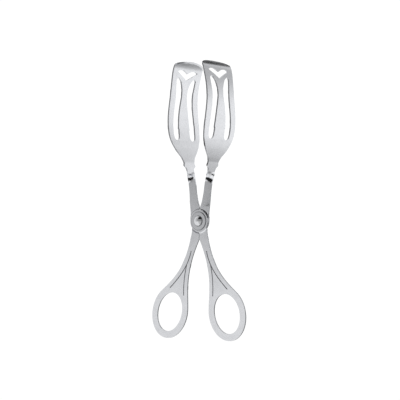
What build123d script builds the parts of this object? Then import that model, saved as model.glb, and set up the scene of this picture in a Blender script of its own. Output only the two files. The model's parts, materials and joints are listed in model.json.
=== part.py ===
"""Scissor serving tongs: two identical stamped steel arms that turn on one rivet.

Each arm is one sheet of steel: a finger ring, a handle, a pivot eye, a shank, a quarter twist and a
pierced blade. The front arm has its ring at +X and its blade at -X. The rear arm is the same stamping
turned half round about Z. The tongs stand upright and closed, blade tips up. Sizes are drawn from the
pivot's centre, and the finished pieces are set down so that the centre of their box is the origin.
"""

import os
from math import atan2, cos, degrees, radians, sin

from build123d import *

# Sheet and clearances
sheet = 1.2
lap_gap = 0.1
crotch_gap = 0.3
washer_gap = 0.1

# Finger ring: an egg-shaped hole that leans outward at the bottom, in a band of even width
ring_reach = 26.2
ring_drop = 65.4
ring_hole_width = 22.2
ring_hole_length = 28.7
ring_band = 5.0
ring_lean = 21.0
ring_join_angle = 52.7

# Pivot: the eyes lap inside a small joggle, so that both handles lie in one plane
eye_radius = 7.9
joggle_clearance = 0.4
joggle_run = 0.6
eye_exit_angle = 25.0
upper_crotch = 9.4
lower_crotch = 12.8
handle_start = (-0.42, -1)
rivet_radius = 2.0
rivet_clearance = 0.04
head_radius = 3.7
head_height = 1.7
head_rim = 0.35
tail_radius = 3.1
tail_height = 0.9
washer_radius = 6.55
washer_thickness = 0.6
washer_edge = 0.15

# Shank and quarter twist
shank_width = 6.4
shank_lean = 13.5
twist_reach = 7.45
twist_height = 27.0
twist_length = 9.0
twist_waist = 4.9
twist_sections = 9

# Blade: the neck, the bowed plate, and the lip that curls inward at the tip
neck_width = 7.8
neck_length = 6.2
bend_radius = 12.0
bow_lean = 18.3
bow_radius = 118.0
bow_turn = 32.3
lip_radius = 8.5
lip_turn = 54.0
lip_reach = 9.4
lip_crown_radius = 44.0
blade_half_width = 17.25

# Engraved lines on both faces of the handle
line_width = 0.7
line_depth = 0.12

front = Plane(origin=(0, 0, 0), x_dir=(1, 0, 0), z_dir=(0, -1, 0))
side = Plane(origin=(0, 0, 0), x_dir=(0, 1, 0), z_dir=(1, 0, 0))
pivot_axis = Axis((0, 0, 0), (0, -1, 0))


def ring_rim(angle):
    """Point and clockwise travel on the ring's outer rim, at an angle from its long axis."""
    lean, turn = radians(ring_lean), radians(angle)
    half_width = ring_hole_width / 2 + ring_band
    half_length = ring_hole_length / 2 + ring_band
    across, along = half_width * sin(turn), half_length * cos(turn)
    across_rate, along_rate = half_width * cos(turn), -half_length * sin(turn)
    point = (
        ring_reach + across * cos(lean) - along * sin(lean),
        -ring_drop + across * sin(lean) + along * cos(lean),
    )
    travel = (
        across_rate * cos(lean) - along_rate * sin(lean),
        across_rate * sin(lean) + along_rate * cos(lean),
    )
    return point, travel


def innermost_rim_angle():
    """Angle of the rim's point nearest the other ring, where the rim runs straight up and down."""
    half_width = ring_hole_width / 2 + ring_band
    half_length = ring_hole_length / 2 + ring_band
    lean = radians(ring_lean)
    return degrees(atan2(-half_width * cos(lean), half_length * sin(lean)))


# The shank leans outward along this direction, and the twist and neck carry on along it
up_shank = Vector(-sin(radians(shank_lean)), 0, cos(radians(shank_lean)))
across_shank = Vector(cos(radians(shank_lean)), 0, sin(radians(shank_lean)))
twist_start = Vector(-twist_reach, 0, twist_height)
twist_end = twist_start + up_shank * twist_length
neck_end = twist_end + up_shank * neck_length

# Flat outline of the front arm: shank, eye, handle and ring
shank_inner_corner = twist_start + across_shank * (shank_width / 2)
shank_outer_corner = twist_start - across_shank * (shank_width / 2)
rim_join, rim_join_travel = ring_rim(ring_join_angle)
rim_inner, _ = ring_rim(innermost_rim_angle())
eye_exit = (
    eye_radius * cos(radians(eye_exit_angle)),
    -eye_radius * sin(radians(eye_exit_angle)),
)

# Cuts and blanks run this deep, well past the sheet and its joggle
through_sheet = 4 * sheet

with BuildSketch(front.offset(-through_sheet / 2)) as arm_outline:
    Circle(eye_radius)
    with BuildLine():
        shank_outside = Spline(
            (-eye_radius, 0),
            (-9.1, 13),
            (shank_outer_corner.X, shank_outer_corner.Z),
            tangents=[(0, 1), (up_shank.X, up_shank.Z)],
        )
        shank_inside = Spline(
            (shank_inner_corner.X, shank_inner_corner.Z),
            (-2.8, 17.4),
            (-crotch_gap / 2, upper_crotch),
            tangents=[(-up_shank.X, -up_shank.Z), (0.4, -1)],
        )
        Line(shank_outside @ 1, shank_inside @ 0)
        Polyline(shank_inside @ 1, (-crotch_gap / 2, 0), (-eye_radius, 0))
    make_face()
    with BuildLine():
        handle_outside = Spline(
            eye_exit,
            (8.0, -13),
            (14.1, -29),
            rim_join,
            tangents=[handle_start, rim_join_travel],
        )
        handle_inside = Spline(
            rim_inner,
            (10.05, -47),
            (7.6, -31),
            (crotch_gap / 2, -lower_crotch),
            tangents=[(0, 1), (-0.5, 1)],
        )
        Line(handle_outside @ 1, handle_inside @ 0)
        Polyline(handle_inside @ 1, (crotch_gap / 2, 0), eye_exit)
    make_face()
    with Locations((ring_reach, -ring_drop)):
        Ellipse(
            ring_hole_width / 2 + ring_band,
            ring_hole_length / 2 + ring_band,
            rotation=ring_lean,
        )
        Ellipse(
            ring_hole_width / 2,
            ring_hole_length / 2,
            rotation=ring_lean,
            mode=Mode.SUBTRACT,
        )

# The joggled sheet, turned about the pivot: inside the joggle it lies in front of the middle plane
eye_back = -lap_gap / 2
eye_front = eye_back - sheet
sheet_reach = 2 * ring_drop
joggle_start_radius = eye_radius + joggle_clearance
joggle_end_radius = joggle_start_radius + joggle_run
with BuildPart() as joggled_sheet:
    with BuildSketch(Plane.XY):
        with BuildLine():
            Polyline(
                (0, eye_front),
                (joggle_start_radius, eye_front),
                (joggle_end_radius, -sheet / 2),
                (sheet_reach, -sheet / 2),
                (sheet_reach, sheet / 2),
                (joggle_end_radius, sheet / 2),
                (joggle_start_radius, eye_back),
                (0, eye_back),
                close=True,
            )
        make_face()
    revolve(axis=pivot_axis)

# Two fine lines that part like a Y, cut into both faces of the handle above the ring
with BuildSketch(front.offset(sheet / 2 - line_depth)) as front_lines:
    with BuildLine():
        Spline((7.0, -21.3), (10.9, -31.0), (18.9, -41.2), (26.3, -48.1))
    trace(line_width=line_width)
    with BuildLine():
        Spline((10.9, -31.0), (12.9, -41.0), (13.3, -53.4))
    trace(line_width=line_width)
with BuildSketch(front.offset(line_depth - sheet / 2)) as back_lines:
    add(front_lines.sketch_local)

with BuildPart() as handle:
    extrude(arm_outline.sketch, amount=through_sheet)
    add(joggled_sheet.part, mode=Mode.INTERSECT)
    with BuildSketch(front.offset(-through_sheet / 2)):
        Circle(rivet_radius + rivet_clearance)
    extrude(amount=through_sheet, mode=Mode.SUBTRACT)
    extrude(front_lines.sketch, amount=line_depth, mode=Mode.SUBTRACT)
    extrude(back_lines.sketch, amount=-line_depth, mode=Mode.SUBTRACT)

# The quarter twist: the sheet's section turns a quarter round its own middle line
with BuildPart() as twist:
    for step in range(twist_sections + 1):
        travel = step / twist_sections
        turn = radians(90 * travel * travel * (3 - 2 * travel))
        waist = (shank_width - twist_waist) * sin(radians(180 * travel))
        section = Plane(
            origin=twist_start + up_shank * (twist_length * travel),
            x_dir=across_shank * cos(turn) + Vector(0, 1, 0) * sin(turn),
            z_dir=up_shank,
        )
        with BuildSketch(section):
            Rectangle(shank_width + (neck_width - shank_width) * travel - waist, sheet)
    loft()

# The blade seen edge on: a strip of even thickness along the neck, the bend, the bow and the lip
with BuildSketch(front.offset(-2 * blade_half_width)) as blade_strip:
    with BuildLine():
        neck = Line((twist_end.X, twist_end.Z), (neck_end.X, neck_end.Z))
        bend = JernArc(neck @ 1, neck % 1, bend_radius, bow_lean - shank_lean)
        bow = JernArc(bend @ 1, bend % 1, bow_radius, -bow_turn)
        lip = JernArc(bow @ 1, bow % 1, lip_radius, -lip_turn)
    trace(line_width=sheet)
foot = (neck @ 1).Y
tip = (bow @ 1).Y

# Outline of one half of the blade: shoulder, flare and flank, with a slot and half a heart
with BuildSketch(side) as blade_outline:
    with BuildLine():
        shoulder = Spline(
            (neck_width / 2, foot - 5.5),
            (neck_width / 2 + 2.15, foot - 2.3),
            (neck_width / 2 + 1.85, foot + 0.4),
            tangents=[(0, 1), (0.25, 1)],
        )
        flare = Spline(
            shoulder @ 1,
            (blade_half_width - 7.35, foot + 6.4),
            (blade_half_width - 3.1, foot + 12.2),
            (blade_half_width, foot + 24.7),
            tangents=[(0.25, 1), (0, 1)],
        )
        flank = Spline(
            flare @ 1,
            (blade_half_width - 2.1, tip - 18.5),
            (blade_half_width - 1.35, tip - 2.5),
            tangents=[(0, 1), (0.08, 1)],
        )
        Polyline(
            flank @ 1,
            (blade_half_width - 1.35, tip + 3 * lip_radius),
            (0, tip + 3 * lip_radius),
            (0, foot - 2 * neck_length),
            (neck_width / 2, foot - 2 * neck_length),
            shoulder @ 0,
        )
    make_face()
    with BuildLine():
        slot_inside = Spline(
            (8.2, tip - 5.8),
            (5.1, tip - 8.6),
            (2.75, tip - 18.0),
            (4.2, tip - 27.5),
            (5.75, foot + 24.2),
            (5.9, foot + 18.7),
            tangents=[(-0.9, -0.44), (0.1, -1)],
        )
        slot_foot = TangentArc(
            slot_inside @ 1,
            (blade_half_width - 5.65, foot + 18.2),
            tangent=slot_inside % 1,
        )
        slot_outside = Spline(
            slot_foot @ 1,
            (blade_half_width - 5.15, foot + 26.2),
            (blade_half_width - 7.05, tip - 26.5),
            (blade_half_width - 7.65, tip - 17.5),
            (blade_half_width - 6.65, tip - 7.7),
            tangents=[slot_foot % 1, (0.1, 1)],
        )
        TangentArc(slot_outside @ 1, slot_inside @ 0, tangent=slot_outside % 1)
    make_face(mode=Mode.SUBTRACT)
    with BuildLine():
        heart_top = Spline(
            (0, tip - 2.4),
            (3.2, tip - 0.8),
            (7.5, tip - 0.1),
            (10.9, tip - 1.3),
        )
        heart_foot = Spline(
            heart_top @ 1,
            (8.0, tip - 2.8),
            (4.0, tip - 4.8),
            (0, tip - 7.1),
        )
        Line(heart_foot @ 1, heart_top @ 0)
    make_face(mode=Mode.SUBTRACT)
    mirror(about=Plane.YZ)

# The blade is that strip drawn out sideways, cut to its outline and to the curve of the lip's edge
with BuildPart() as blade:
    extrude(blade_strip.sketch, amount=4 * blade_half_width)
    extrude(blade_outline.sketch, amount=-2 * bow_radius, mode=Mode.INTERSECT)
    with BuildSketch(Plane.XY.offset(tip)):
        Rectangle(4 * blade_half_width, 4 * blade_half_width)
        with Locations((-lip_reach - lip_crown_radius, 0)):
            Circle(lip_crown_radius, mode=Mode.SUBTRACT)
    extrude(amount=4 * lip_radius, mode=Mode.SUBTRACT)

with BuildPart() as front_arm:
    add(handle.part)
    add(twist.part)
    add(blade.part)

with BuildPart() as rear_arm:
    add(front_arm.part.rotate(Axis.Z, 180))

# The front washer lies under the rivet's domed head, the rear washer under its closed tail
washer_front_face = eye_front - washer_thickness
rear_washer_face = -eye_front + washer_gap
tail_face = rear_washer_face + washer_thickness

with BuildPart() as front_washer:
    with BuildSketch(front.offset(-eye_front)):
        Circle(washer_radius)
        Circle(rivet_radius + rivet_clearance, mode=Mode.SUBTRACT)
    extrude(amount=washer_thickness)
    rims = front_washer.edges().filter_by(GeomType.CIRCLE).group_by(SortBy.RADIUS)[-1]
    chamfer(rims.sort_by(Axis.Y)[0], washer_edge)

with BuildPart() as rear_washer:
    with BuildSketch(front.offset(-tail_face)):
        Circle(washer_radius)
        Circle(rivet_radius + rivet_clearance, mode=Mode.SUBTRACT)
    extrude(amount=washer_thickness)
    rims = rear_washer.edges().filter_by(GeomType.CIRCLE).group_by(SortBy.RADIUS)[-1]
    chamfer(rims.sort_by(Axis.Y)[-1], washer_edge)


def dome_radius(base_radius, rise):
    """Radius of the ball whose cap has this base and this rise."""
    return (base_radius**2 + rise**2) / (2 * rise)


# The rivet: a domed head in front, a shank through both eyes, and a lower dome closed behind
head_rim_face = washer_front_face - head_rim
tail_rim_face = tail_face + head_rim
with BuildPart() as rivet:
    with BuildSketch(Plane.XY):
        with BuildLine():
            head_dome = RadiusArc(
                (0, washer_front_face - head_height),
                (head_radius, head_rim_face),
                -dome_radius(head_radius, head_height - head_rim),
            )
            Polyline(
                head_dome @ 1,
                (head_radius, washer_front_face),
                (rivet_radius, washer_front_face),
                (rivet_radius, tail_face),
                (tail_radius, tail_face),
                (tail_radius, tail_rim_face),
            )
            tail_dome = RadiusArc(
                (tail_radius, tail_rim_face),
                (0, tail_face + tail_height),
                -dome_radius(tail_radius, tail_height - head_rim),
            )
            Line(tail_dome @ 1, head_dome @ 0)
        make_face()
    revolve(axis=pivot_axis)

box = front_arm.part.bounding_box().add(rear_arm.part.bounding_box())
to_box_centre = Location((0, 0, -box.center().Z))
pieces = {
    "front_arm": front_arm,
    "rear_arm": rear_arm,
    "rivet": rivet,
    "front_washer": front_washer,
    "rear_washer": rear_washer,
}
os.makedirs("parts", exist_ok=True)
for name, piece in pieces.items():
    piece.part.label = name
    export_step(piece.part.moved(to_box_centre), f"parts/{name}.step")
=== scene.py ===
"""Scissor serving tongs in stainless steel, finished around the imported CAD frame.

Everything is in metres in the CAD frame: Z runs up the tongs, Y is the hinge's axis, and the domed
rivet head looks along -Y.
"""

import json
import math

import bmesh
import bpy
import numpy as np
from mathutils import Matrix, Vector
from mathutils.bvhtree import BVHTree
from mathutils.interpolate import poly_3d_calc


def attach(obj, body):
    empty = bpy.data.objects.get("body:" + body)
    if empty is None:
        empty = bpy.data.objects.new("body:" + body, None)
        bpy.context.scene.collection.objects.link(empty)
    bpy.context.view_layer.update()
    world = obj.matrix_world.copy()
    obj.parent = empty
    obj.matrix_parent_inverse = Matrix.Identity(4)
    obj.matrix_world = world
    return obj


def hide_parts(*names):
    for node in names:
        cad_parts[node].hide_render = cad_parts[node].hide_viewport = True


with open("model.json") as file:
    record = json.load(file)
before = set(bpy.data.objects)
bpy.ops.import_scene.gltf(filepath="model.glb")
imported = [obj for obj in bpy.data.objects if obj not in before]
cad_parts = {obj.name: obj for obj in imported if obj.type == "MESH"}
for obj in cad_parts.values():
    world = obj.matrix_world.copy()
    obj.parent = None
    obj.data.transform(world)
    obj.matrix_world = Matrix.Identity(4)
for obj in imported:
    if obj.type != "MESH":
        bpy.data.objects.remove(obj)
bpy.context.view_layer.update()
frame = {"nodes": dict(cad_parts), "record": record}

# Camera. A long lens a little below the tongs' middle, from the right of the rivet's side. It is
# tipped about the hinge's axis by the small lean that the tongs have in the hand.
view_turn = math.radians(39.0)
view_rise = math.radians(-3.0)
view_lean = math.radians(1.25)
view_distance = 1.2
aim = Vector((-0.0002, 0.0, 0.0))

toward_camera = Vector(
    (
        math.sin(view_turn) * math.cos(view_rise),
        -math.cos(view_turn) * math.cos(view_rise),
        math.sin(view_rise),
    )
)
camera = bpy.data.objects.new("camera", bpy.data.cameras.new("camera"))
camera.data.lens = 151.2
camera.data.sensor_width = 36.0
camera.data.clip_start = 0.1
bpy.context.collection.objects.link(camera)
camera.matrix_world = (
    Matrix.Rotation(-view_lean, 4, "Y")
    @ Matrix.Translation(aim + toward_camera * view_distance)
    @ toward_camera.to_track_quat("Z", "Y").to_matrix().to_4x4()
)
bpy.context.scene.camera = camera
bpy.context.scene.view_settings.view_transform = "Standard"


# Studio. White light from all round, and a plain pale floor well below the tongs, which hang free
# above it. A round cloth wall stands close about them, and only their steel reflects it.
class Flow:
    """A shader value: Python's operators on it add Math nodes, and add() makes any other node."""

    def __init__(self, tree, socket=None):
        self.tree = tree
        self.socket = socket

    def add(self, kind, settings=None, out=0, **inputs):
        """A node of this kind with its settings, and its inputs by name or as in_0, in_1 and so on."""
        node = self.tree.nodes.new(kind)
        for name, value in (settings or {}).items():
            if name == "stops":
                shade_stops(node.color_ramp, value)
            else:
                setattr(node, name, value)
        for name, value in inputs.items():
            socket = node.inputs[int(name[3:])] if name.startswith("in_") else node.inputs[name]
            if isinstance(value, Flow):
                self.tree.links.new(value.socket, socket)
            else:
                socket.default_value = value
        return Flow(self.tree, node.outputs[out])

    def math(self, operation, *values, clamp=False):
        """One Math node on these values."""
        inputs = {f"in_{place}": value for place, value in enumerate(values)}
        return self.add("ShaderNodeMath", {"operation": operation, "use_clamp": clamp}, **inputs)

    def __add__(self, other):
        return self.math("ADD", self, other)

    def __sub__(self, other):
        return self.math("SUBTRACT", self, other)

    def __mul__(self, other):
        return self.math("MULTIPLY", self, other)

    def __truediv__(self, other):
        return self.math("DIVIDE", self, other)

    def __radd__(self, other):
        return self.math("ADD", other, self)

    def __rsub__(self, other):
        return self.math("SUBTRACT", other, self)

    def __rmul__(self, other):
        return self.math("MULTIPLY", other, self)

    def between(self, low, high):
        """0 at low and under, 1 at high and over, and a straight line from one to the other."""
        return self.math("DIVIDE", self - low, high - low, clamp=True)

    def split(self):
        """The X, Y and Z of a vector."""
        return [self.add("ShaderNodeSeparateXYZ", out=axis, in_0=self) for axis in range(3)]

    def ramp(self, stops):
        """A grey ramp through (place, value) stops."""
        return self.add("ShaderNodeValToRGB", {"stops": stops}, in_0=self)

    def mix(self, first, second):
        """A colour from the first, where this value is 0, to the second, where it is 1."""
        return self.add("ShaderNodeMix", {"data_type": "RGBA"}, out=2, in_0=self, in_6=first, in_7=second)

    def feed(self, node, name):
        """Links this value to one input of a node."""
        self.tree.links.new(self.socket, node.inputs[name])


def shade_stops(ramp, stops):
    """Gives a colour ramp these (place, value) stops, in grey."""
    ramp.interpolation = "EASE"
    for place, _ in stops[1:-1]:
        ramp.elements.new(place)
    for element, (place, value) in zip(ramp.elements, stops):
        element.position = place
        element.color = (value, value, value, 1.0)


def mesh_object(name, points, faces):
    """A new object in the scene from arrays of points and faces."""
    mesh = bpy.data.meshes.new(name)
    mesh.from_pydata(points.tolist(), [], faces.tolist())
    thing = bpy.data.objects.new(name, mesh)
    bpy.context.collection.objects.link(thing)
    return thing


def grid_faces(rows, columns):
    """Four-sided faces between neighbouring rows and columns of a grid of points."""
    row, column = np.meshgrid(np.arange(rows - 1), np.arange(columns - 1), indexing="ij")
    corner = (row * columns + column).ravel()
    return np.stack((corner, corner + 1, corner + columns + 1, corner + columns), -1)


def plain_floor(reach, level):
    """A level square: X and Y each run from -reach to reach."""
    x, y = np.meshgrid((-reach, reach), (-reach, reach), indexing="xy")
    return np.stack((x.ravel(), y.ravel(), np.full(4, level)), -1)


def round_screen(profile, sides, first=0.0, last=math.tau):
    """A profile of (radius, height) pairs swept round Z: radius times (sin turn, -cos turn), height."""
    radius, height = np.array(profile).T[:, :, None]
    turn = np.linspace(first, last, sides + 1)[None]
    level = height + np.zeros_like(turn)
    return np.stack((radius * np.sin(turn), -radius * np.cos(turn), level), -1).reshape(-1, 3)


world = bpy.data.worlds.new("white_room")
world.use_nodes = True
bpy.context.scene.world = world
room_light = world.node_tree.nodes["Background"]
room_light.inputs["Color"].default_value = (1.0, 1.0, 1.0, 1.0)
room_light.inputs["Strength"].default_value = 1.06

floor_reach = 6.0
floor_level = -0.3
floor = mesh_object("floor", plain_floor(floor_reach, floor_level), grid_faces(2, 2))
floor_paint = bpy.data.materials.new("pale_floor")
floor_paint.use_nodes = True
floor_shader = floor_paint.node_tree.nodes["Principled BSDF"]
floor_shader.inputs["Base Color"].default_value = (0.97, 0.97, 0.97, 1.0)
floor_shader.inputs["Roughness"].default_value = 1.0
floor_shader.inputs["Specular IOR Level"].default_value = 0.0
floor.data.materials.append(floor_paint)

wall_sides = 96
wall_radius = 0.25
wall_profile = [(wall_radius, -0.29), (wall_radius, 0.36)]
wall = mesh_object(
    "cloth_wall", round_screen(wall_profile, wall_sides), grid_faces(len(wall_profile), wall_sides + 1)
)
wall_cloth = bpy.data.materials.new("lit_cloth")
wall_cloth.use_nodes = True
tree = wall_cloth.node_tree
tree.nodes.clear()
cloth = Flow(tree)
east, north, height = cloth.add("ShaderNodeTexCoord", out=3).split()
turn = cloth.math("ARCTAN2", east, 0.0 - north) / math.tau + 0.5


def round_ramp(*stops):
    """A ramp round the wall through (degrees round from the front, brightness) stops."""
    return turn.ramp([(degrees / 360.0 + 0.5, value) for degrees, value in stops])


# The cloth is lit in three levels, which shade into each other, and is open and dark behind
low_cloth = round_ramp(
    (-180, 0.8), (-90, 0.9), (-38, 0.9), (-19, 0.95), (-6, 0.6), (30, 0.55), (42, 0.9), (95, 0.9),
    (138, 0.36), (160, 0.5), (180, 0.8),
)
middle_cloth = round_ramp(
    (-180, 1.0), (-100, 1.0), (-70, 0.75), (-40, 0.52), (-28, 0.38), (-20, 0.34), (33, 0.34),
    (39, 1.15), (94, 1.1), (99, 0.06), (114, 0.08), (124, 1.08), (180, 1.05),
)
high_cloth = round_ramp(
    (-180, 0.8), (-90, 0.95), (-40, 0.6), (-22, 0.4), (33, 0.4), (39, 1.15), (94, 1.0), (99, 0.12),
    (114, 0.15), (126, 0.6), (145, 0.58), (165, 0.85), (180, 0.8),
)
lower_share = height.between(0.01, -0.07)
upper_share = height.between(0.1, 0.17)
middle_light = middle_cloth * (1.0 - lower_share) * (1.0 - upper_share)
walled = middle_light + low_cloth * lower_share + high_cloth * upper_share
behind = round_ramp((-180, 1.0), (-162, 1.0), (-150, 0.0), (155, 0.0), (165, 1.0), (180, 1.0))
open_ends = height.between(0.245, 0.285) + height.between(-0.085, -0.105) * 0.6
glow = walled * (1.0 - behind * open_ends * 0.95)
light = tree.nodes.new("ShaderNodeEmission")
glow.feed(light, "Strength")
end = tree.nodes.new("ShaderNodeOutputMaterial")
tree.links.new(light.outputs[0], end.inputs["Surface"])
wall.data.materials.append(wall_cloth)

# A black card folded round the front of the twists gives them their black band
card_sides = 24
card_profile = [
    (0.010, -0.004), (0.030, -0.001), (0.038, 0.006), (0.038, 0.027), (0.030, 0.034), (0.010, 0.037),
]
card = mesh_object(
    "black_card",
    round_screen(card_profile, card_sides, math.radians(-19), math.radians(42)),
    grid_faces(len(card_profile), card_sides + 1),
)
black_felt = bpy.data.materials.new("black_felt")
black_felt.use_nodes = True
felt_shader = black_felt.node_tree.nodes["Principled BSDF"]
felt_shader.inputs["Base Color"].default_value = (0.004, 0.004, 0.004, 1.0)
felt_shader.inputs["Specular IOR Level"].default_value = 0.0
card.data.materials.append(black_felt)

for screen in (wall, card):
    screen.visible_camera = False
    screen.visible_shadow = False
    screen.visible_diffuse = False


# The two arms. Each is one stamping of stainless sheet, blanked, pierced, twisted a quarter turn and
# bowed, then tumbled until its edges are round and its faces have a fine satin grain.
sharp_angle = math.radians(35)


def round_edges(work, radius, lowest_wall):
    """Rounds the sharp edges of walls higher than this, and returns the rounding's faces."""
    chosen = []
    for edge in work.edges:
        if edge.calc_face_angle(0.0) > sharp_angle:
            wall_height = min(2.0 * face.calc_area() / edge.calc_length() for face in edge.link_faces)
            if wall_height > lowest_wall:
                chosen.append(edge)
    made = bmesh.ops.bevel(
        work, geom=chosen, offset=radius, offset_type="OFFSET", segments=3, profile=0.5, affect="EDGES"
    )
    return made["faces"]


def cad_normals(source, work, rounding):
    """A normal for each face corner: the CAD surface's own under it, and on a rounding a blend.

    The nearest CAD triangle to a corner, moved a little into its face, gives the three normals that
    are mixed by the corner's place in that triangle. Roundings meet their neighbours' normals."""
    source.calc_loop_triangles()
    corner_normals = [corner.vector.copy() for corner in source.corner_normals]
    triangles = [tuple(triangle.vertices) for triangle in source.loop_triangles]
    loops = [tuple(triangle.loops) for triangle in source.loop_triangles]
    points = [vertex.co.copy() for vertex in source.vertices]
    nearest = BVHTree.FromPolygons(points, triangles)
    rounded = {face.index for face in rounding}
    normals = {}
    beside = {}
    for face in work.faces:
        if face.index in rounded:
            continue
        middle = face.calc_center_median()
        for corner in face.loops:
            inward = corner.vert.co.lerp(middle, 0.02)
            _, _, triangle, _ = nearest.find_nearest(inward)
            share = poly_3d_calc([points[place] for place in triangles[triangle]], corner.vert.co)
            parts = (corner_normals[loop] * part for loop, part in zip(loops[triangle], share))
            normal = sum(parts, Vector()).normalized()
            if normal.dot(face.normal) < 0.7:
                normal = face.normal.copy()
            normals[corner.index] = normal
            beside.setdefault(corner.vert.index, []).append(normal)
    for face in work.faces:
        if face.index in rounded:
            for corner in face.loops:
                met = beside.get(corner.vert.index)
                blend = sum(met, Vector()) if met else corner.vert.normal
                normals[corner.index] = blend.normalized()
    return [normals[place] for place in range(len(normals))]


def finished_copy(node, body, material, edge_radius, lowest_wall):
    """A new piece from a CAD node: its triangles joined, its edges rounded and its shading kept.

    Walls lower than lowest_wall, such as an engraved line's, keep their edges."""
    source = frame["nodes"][node].data
    work = bmesh.new()
    work.from_mesh(source)
    bmesh.ops.remove_doubles(work, verts=work.verts, dist=1e-6)
    rounding = [face for face in round_edges(work, edge_radius, lowest_wall) if face.is_valid]
    work.normal_update()
    for group in (work.verts, work.edges, work.faces):
        group.index_update()
    for face in work.faces:
        face.smooth = True
    corners = (corner for face in work.faces for corner in face.loops)
    for place, corner in enumerate(corners):
        corner.index = place
    normals = cad_normals(source, work, rounding)
    mesh = bpy.data.meshes.new(node + "_finished")
    work.to_mesh(mesh)
    work.free()
    mesh.normals_split_custom_set(normals)
    mesh.materials.append(material)
    piece = bpy.data.objects.new(mesh.name, mesh)
    bpy.context.collection.objects.link(piece)
    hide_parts(node)
    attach(piece, body)


# The dark tone of sheared walls and engraved lines, also used as painted shade at joints and crevices
dull_and_shade_tone = (0.09, 0.092, 0.1, 1.0)


def steel(name, light_tone, dark_tone, smooth, rough, grain_scale, grain_depth, stretch, polished, dark):
    """Bare steel. Cloudy patches and fine grain set its tone and roughness, and small pits darken it.

    polished is a function of a place, and dark of a place and a normal, each giving a share from 0 to 1:
    where hands or parts have rubbed the steel bright, and where it is dull from shearing or darkened as
    painted shade at joints and crevices."""
    material = bpy.data.materials.new(name)
    material.use_nodes = True
    shader = material.node_tree.nodes["Principled BSDF"]
    shader.inputs["Metallic"].default_value = 1.0
    here = Flow(material.node_tree)
    place = here.add("ShaderNodeTexCoord", out=3)
    facing = here.add("ShaderNodeTexCoord", out=1)
    along = here.add("ShaderNodeMapping", Vector=place, Scale=(1.0, 1.0, stretch))
    clouds = here.add("ShaderNodeTexNoise", Vector=place, Scale=230.0, Detail=4.0, Roughness=0.6)
    grain = here.add("ShaderNodeTexNoise", Vector=along, Scale=grain_scale, Detail=3.0, Roughness=0.65)
    pits = here.add("ShaderNodeTexNoise", Vector=place, Scale=1500.0, Detail=1.0).between(0.66, 0.74)
    waves = here.add("ShaderNodeTexNoise", Vector=place, Scale=75.0, Detail=1.0)
    rubbed = polished(here, *place.split())
    dulled_and_shaded = dark(here, *place.split(), *facing.split())
    roughness = smooth + (rough - smooth) * (clouds * 0.6 + grain * 0.4) + pits * 0.2
    roughness = roughness - rubbed * 0.06 + dulled_and_shaded * 0.2
    roughness.feed(shader, "Roughness")
    patchy = clouds.between(0.3, 0.75) * 0.45 + grain.between(0.3, 0.75) * 0.55 + pits * 0.8
    clean = patchy.mix((*light_tone, 1.0), (*dark_tone, 1.0))
    # The dark share darkens the colour: as wear on sheared walls and engraved lines, and as painted shade
    # at joints and crevices
    tone = dulled_and_shaded.mix(clean, dull_and_shade_tone)
    tone.feed(shader, "Base Color")
    relief = waves * 6.0 + clouds * 0.8 + grain - pits * 1.5
    bump = here.add("ShaderNodeBump", Strength=1.0, Distance=grain_depth, Height=relief)
    bump.feed(shader, "Normal")
    return material


pivot_level = frame["record"]["behaviour"]["joints"][0]["pos_m"][2]
ring_centre = next(
    mount["pos_m"] for mount in frame["record"]["mounts"] if "front_finger_ring" in mount.values()
)
ring_half_width = 0.0111
ring_half_length = 0.01435
ring_lean = math.radians(21.0)
twist_foot = pivot_level + 0.027
twist_top = pivot_level + 0.0358


def from_pivot(here, x, z):
    """Distance from the hinge's axis."""
    drop = z - pivot_level
    return here.math("SQRT", x * x + drop * drop)


def arm_polish(here, x, y, z):
    """Fingers polish the rim of each ring: the share falls with distance from the hole's ellipse."""
    out = here.math("ABSOLUTE", x) - ring_centre[0]
    rise = z - ring_centre[2]
    across = (out * math.cos(ring_lean) + rise * math.sin(ring_lean)) / ring_half_width
    along = (rise * math.cos(ring_lean) - out * math.sin(ring_lean)) / ring_half_length
    return 1.0 - here.math("SQRT", across * across + along * along).between(1.05, 1.5)


wall_dullness = 0.6
line_dullness = 0.9
# The next two set the strength of painted shade: round the washers, and in the crotch's joggle
washer_edge_shade_strength = 0.4
crotch_shade_strength = 0.95


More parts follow.
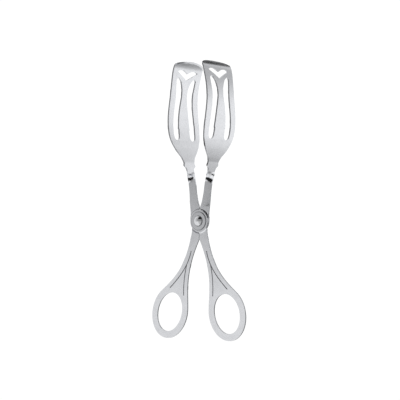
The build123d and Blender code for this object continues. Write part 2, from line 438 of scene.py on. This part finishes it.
def arm_wear_and_shade(here, x, y, z, face_x, face_y, face_z):
    """Sheared walls, the bottoms of the engraved lines, and painted shade: a dark ring on each eye round
    the washers, and a dark arc on the joggle's slope in the upper crotch.

    A wall faces along X or Z below the twist, and along Y above it. An engraved line lies a little
    nearer the sheet's middle than its face does."""
    toward_y = here.math("ABSOLUTE", face_y)
    on_blade = z.between(twist_top, twist_top + 0.002)
    on_handle = 1.0 - z.between(twist_foot - 0.002, twist_foot)
    wall = toward_y.between(0.55, 0.85) * on_blade + (1.0 - toward_y.between(0.2, 0.5)) * on_handle
    flat = toward_y.between(0.7, 0.9)
    below_face = 1.0 - here.math("ABSOLUTE", y).between(0.0005, 0.00057)
    line = below_face * flat * (1.0 - z.between(-0.03, -0.025))
    reach = from_pivot(here, x, z)
    # Painted shade: a thin dark ring on the eye just outside each washer, where the gap beside the washer
    # is shaded
    washer_edge_shade = reach.between(0.0064, 0.00655) * (1.0 - reach.between(0.0068, 0.00705)) * flat
    on_slope = toward_y.between(0.35, 0.5) * (1.0 - toward_y.between(0.85, 0.95))
    # Painted shade: a dark arc on the joggle's slope in the upper crotch, the crevice behind the other
    # arm's eye
    in_joggle = reach.between(0.0081, 0.0084) * (1.0 - reach.between(0.0089, 0.0092))
    crotch = in_joggle * on_slope * z.between(-0.0151, -0.0125)
    joint_shade = here.math("MAXIMUM", washer_edge_shade * washer_edge_shade_strength, crotch * crotch_shade_strength)
    worn = here.math("MAXIMUM", wall * wall_dullness, line * line_dullness)
    return here.math("MAXIMUM", worn, joint_shade, clamp=True)


arm_steel = steel(
    "satin_sheet", (0.775, 0.785, 0.808), (0.645, 0.655, 0.68), 0.12, 0.23, 2600.0, 0.000006, 0.3,
    arm_polish, arm_wear_and_shade,
)
for node, body in (("front_arm", "front_half"), ("rear_arm", "rear_half")):
    finished_copy(node, body, arm_steel, 0.0002, 0.0008)


# The two washers. Each is a thin ring blanked from steel sheet, one under the rivet's head and one
# under its tail. Turning against the eyes leaves fine round marks on them. Their rims, and a ring
# round the rivet's head, are darkened as painted shade.
def washer_polish(here, x, y, z):
    """Round marks: noise along the distance from the pivot."""
    reach = from_pivot(here, x, z)
    return here.add("ShaderNodeTexNoise", {"noise_dimensions": "1D"}, W=reach, Scale=4000.0, Detail=2.0)


def washer_painted_shade(here, x, y, z, face_x, face_y, face_z):
    """Painted shade: a dark line at the washer's rim, and a darker ring round the rivet's head."""
    reach = from_pivot(here, x, z)
    under_head = 1.0 - reach.between(0.0038, 0.00405)
    return here.math("MAXIMUM", reach.between(0.0062, 0.00632) * 0.65, under_head * 0.8)


washer_steel = steel(
    "turned_washer", (0.72, 0.73, 0.755), (0.61, 0.62, 0.64), 0.14, 0.3, 3200.0, 0.000004, 1.0,
    washer_polish, washer_painted_shade,
)
for node in ("front_washer", "rear_washer"):
    finished_copy(node, "front_half", washer_steel, 0.00004, 0.0001)


# The rivet. It is cold headed from wire: a domed head in front, and behind a lower dome that was
# formed over the rear washer. The die leaves it bright, with a few fine pits.
def rivet_polish(here, x, y, z):
    """The die leaves the crown of each dome brightest."""
    return 1.0 - from_pivot(here, x, z).between(0.001, 0.0035)


def rivet_rim_shade(here, x, y, z, face_x, face_y, face_z):
    """Painted shade round the rim where the dome meets the washer."""
    return from_pivot(here, x, z).between(0.0032, 0.00345) * 0.75


rivet_steel = steel(
    "headed_rivet", (0.80, 0.808, 0.825), (0.70, 0.71, 0.73), 0.05, 0.14, 2200.0, 0.000003, 1.0,
    rivet_polish, rivet_rim_shade,
)
finished_copy("rivet", "front_half", rivet_steel, 0.00006, 0.0002)
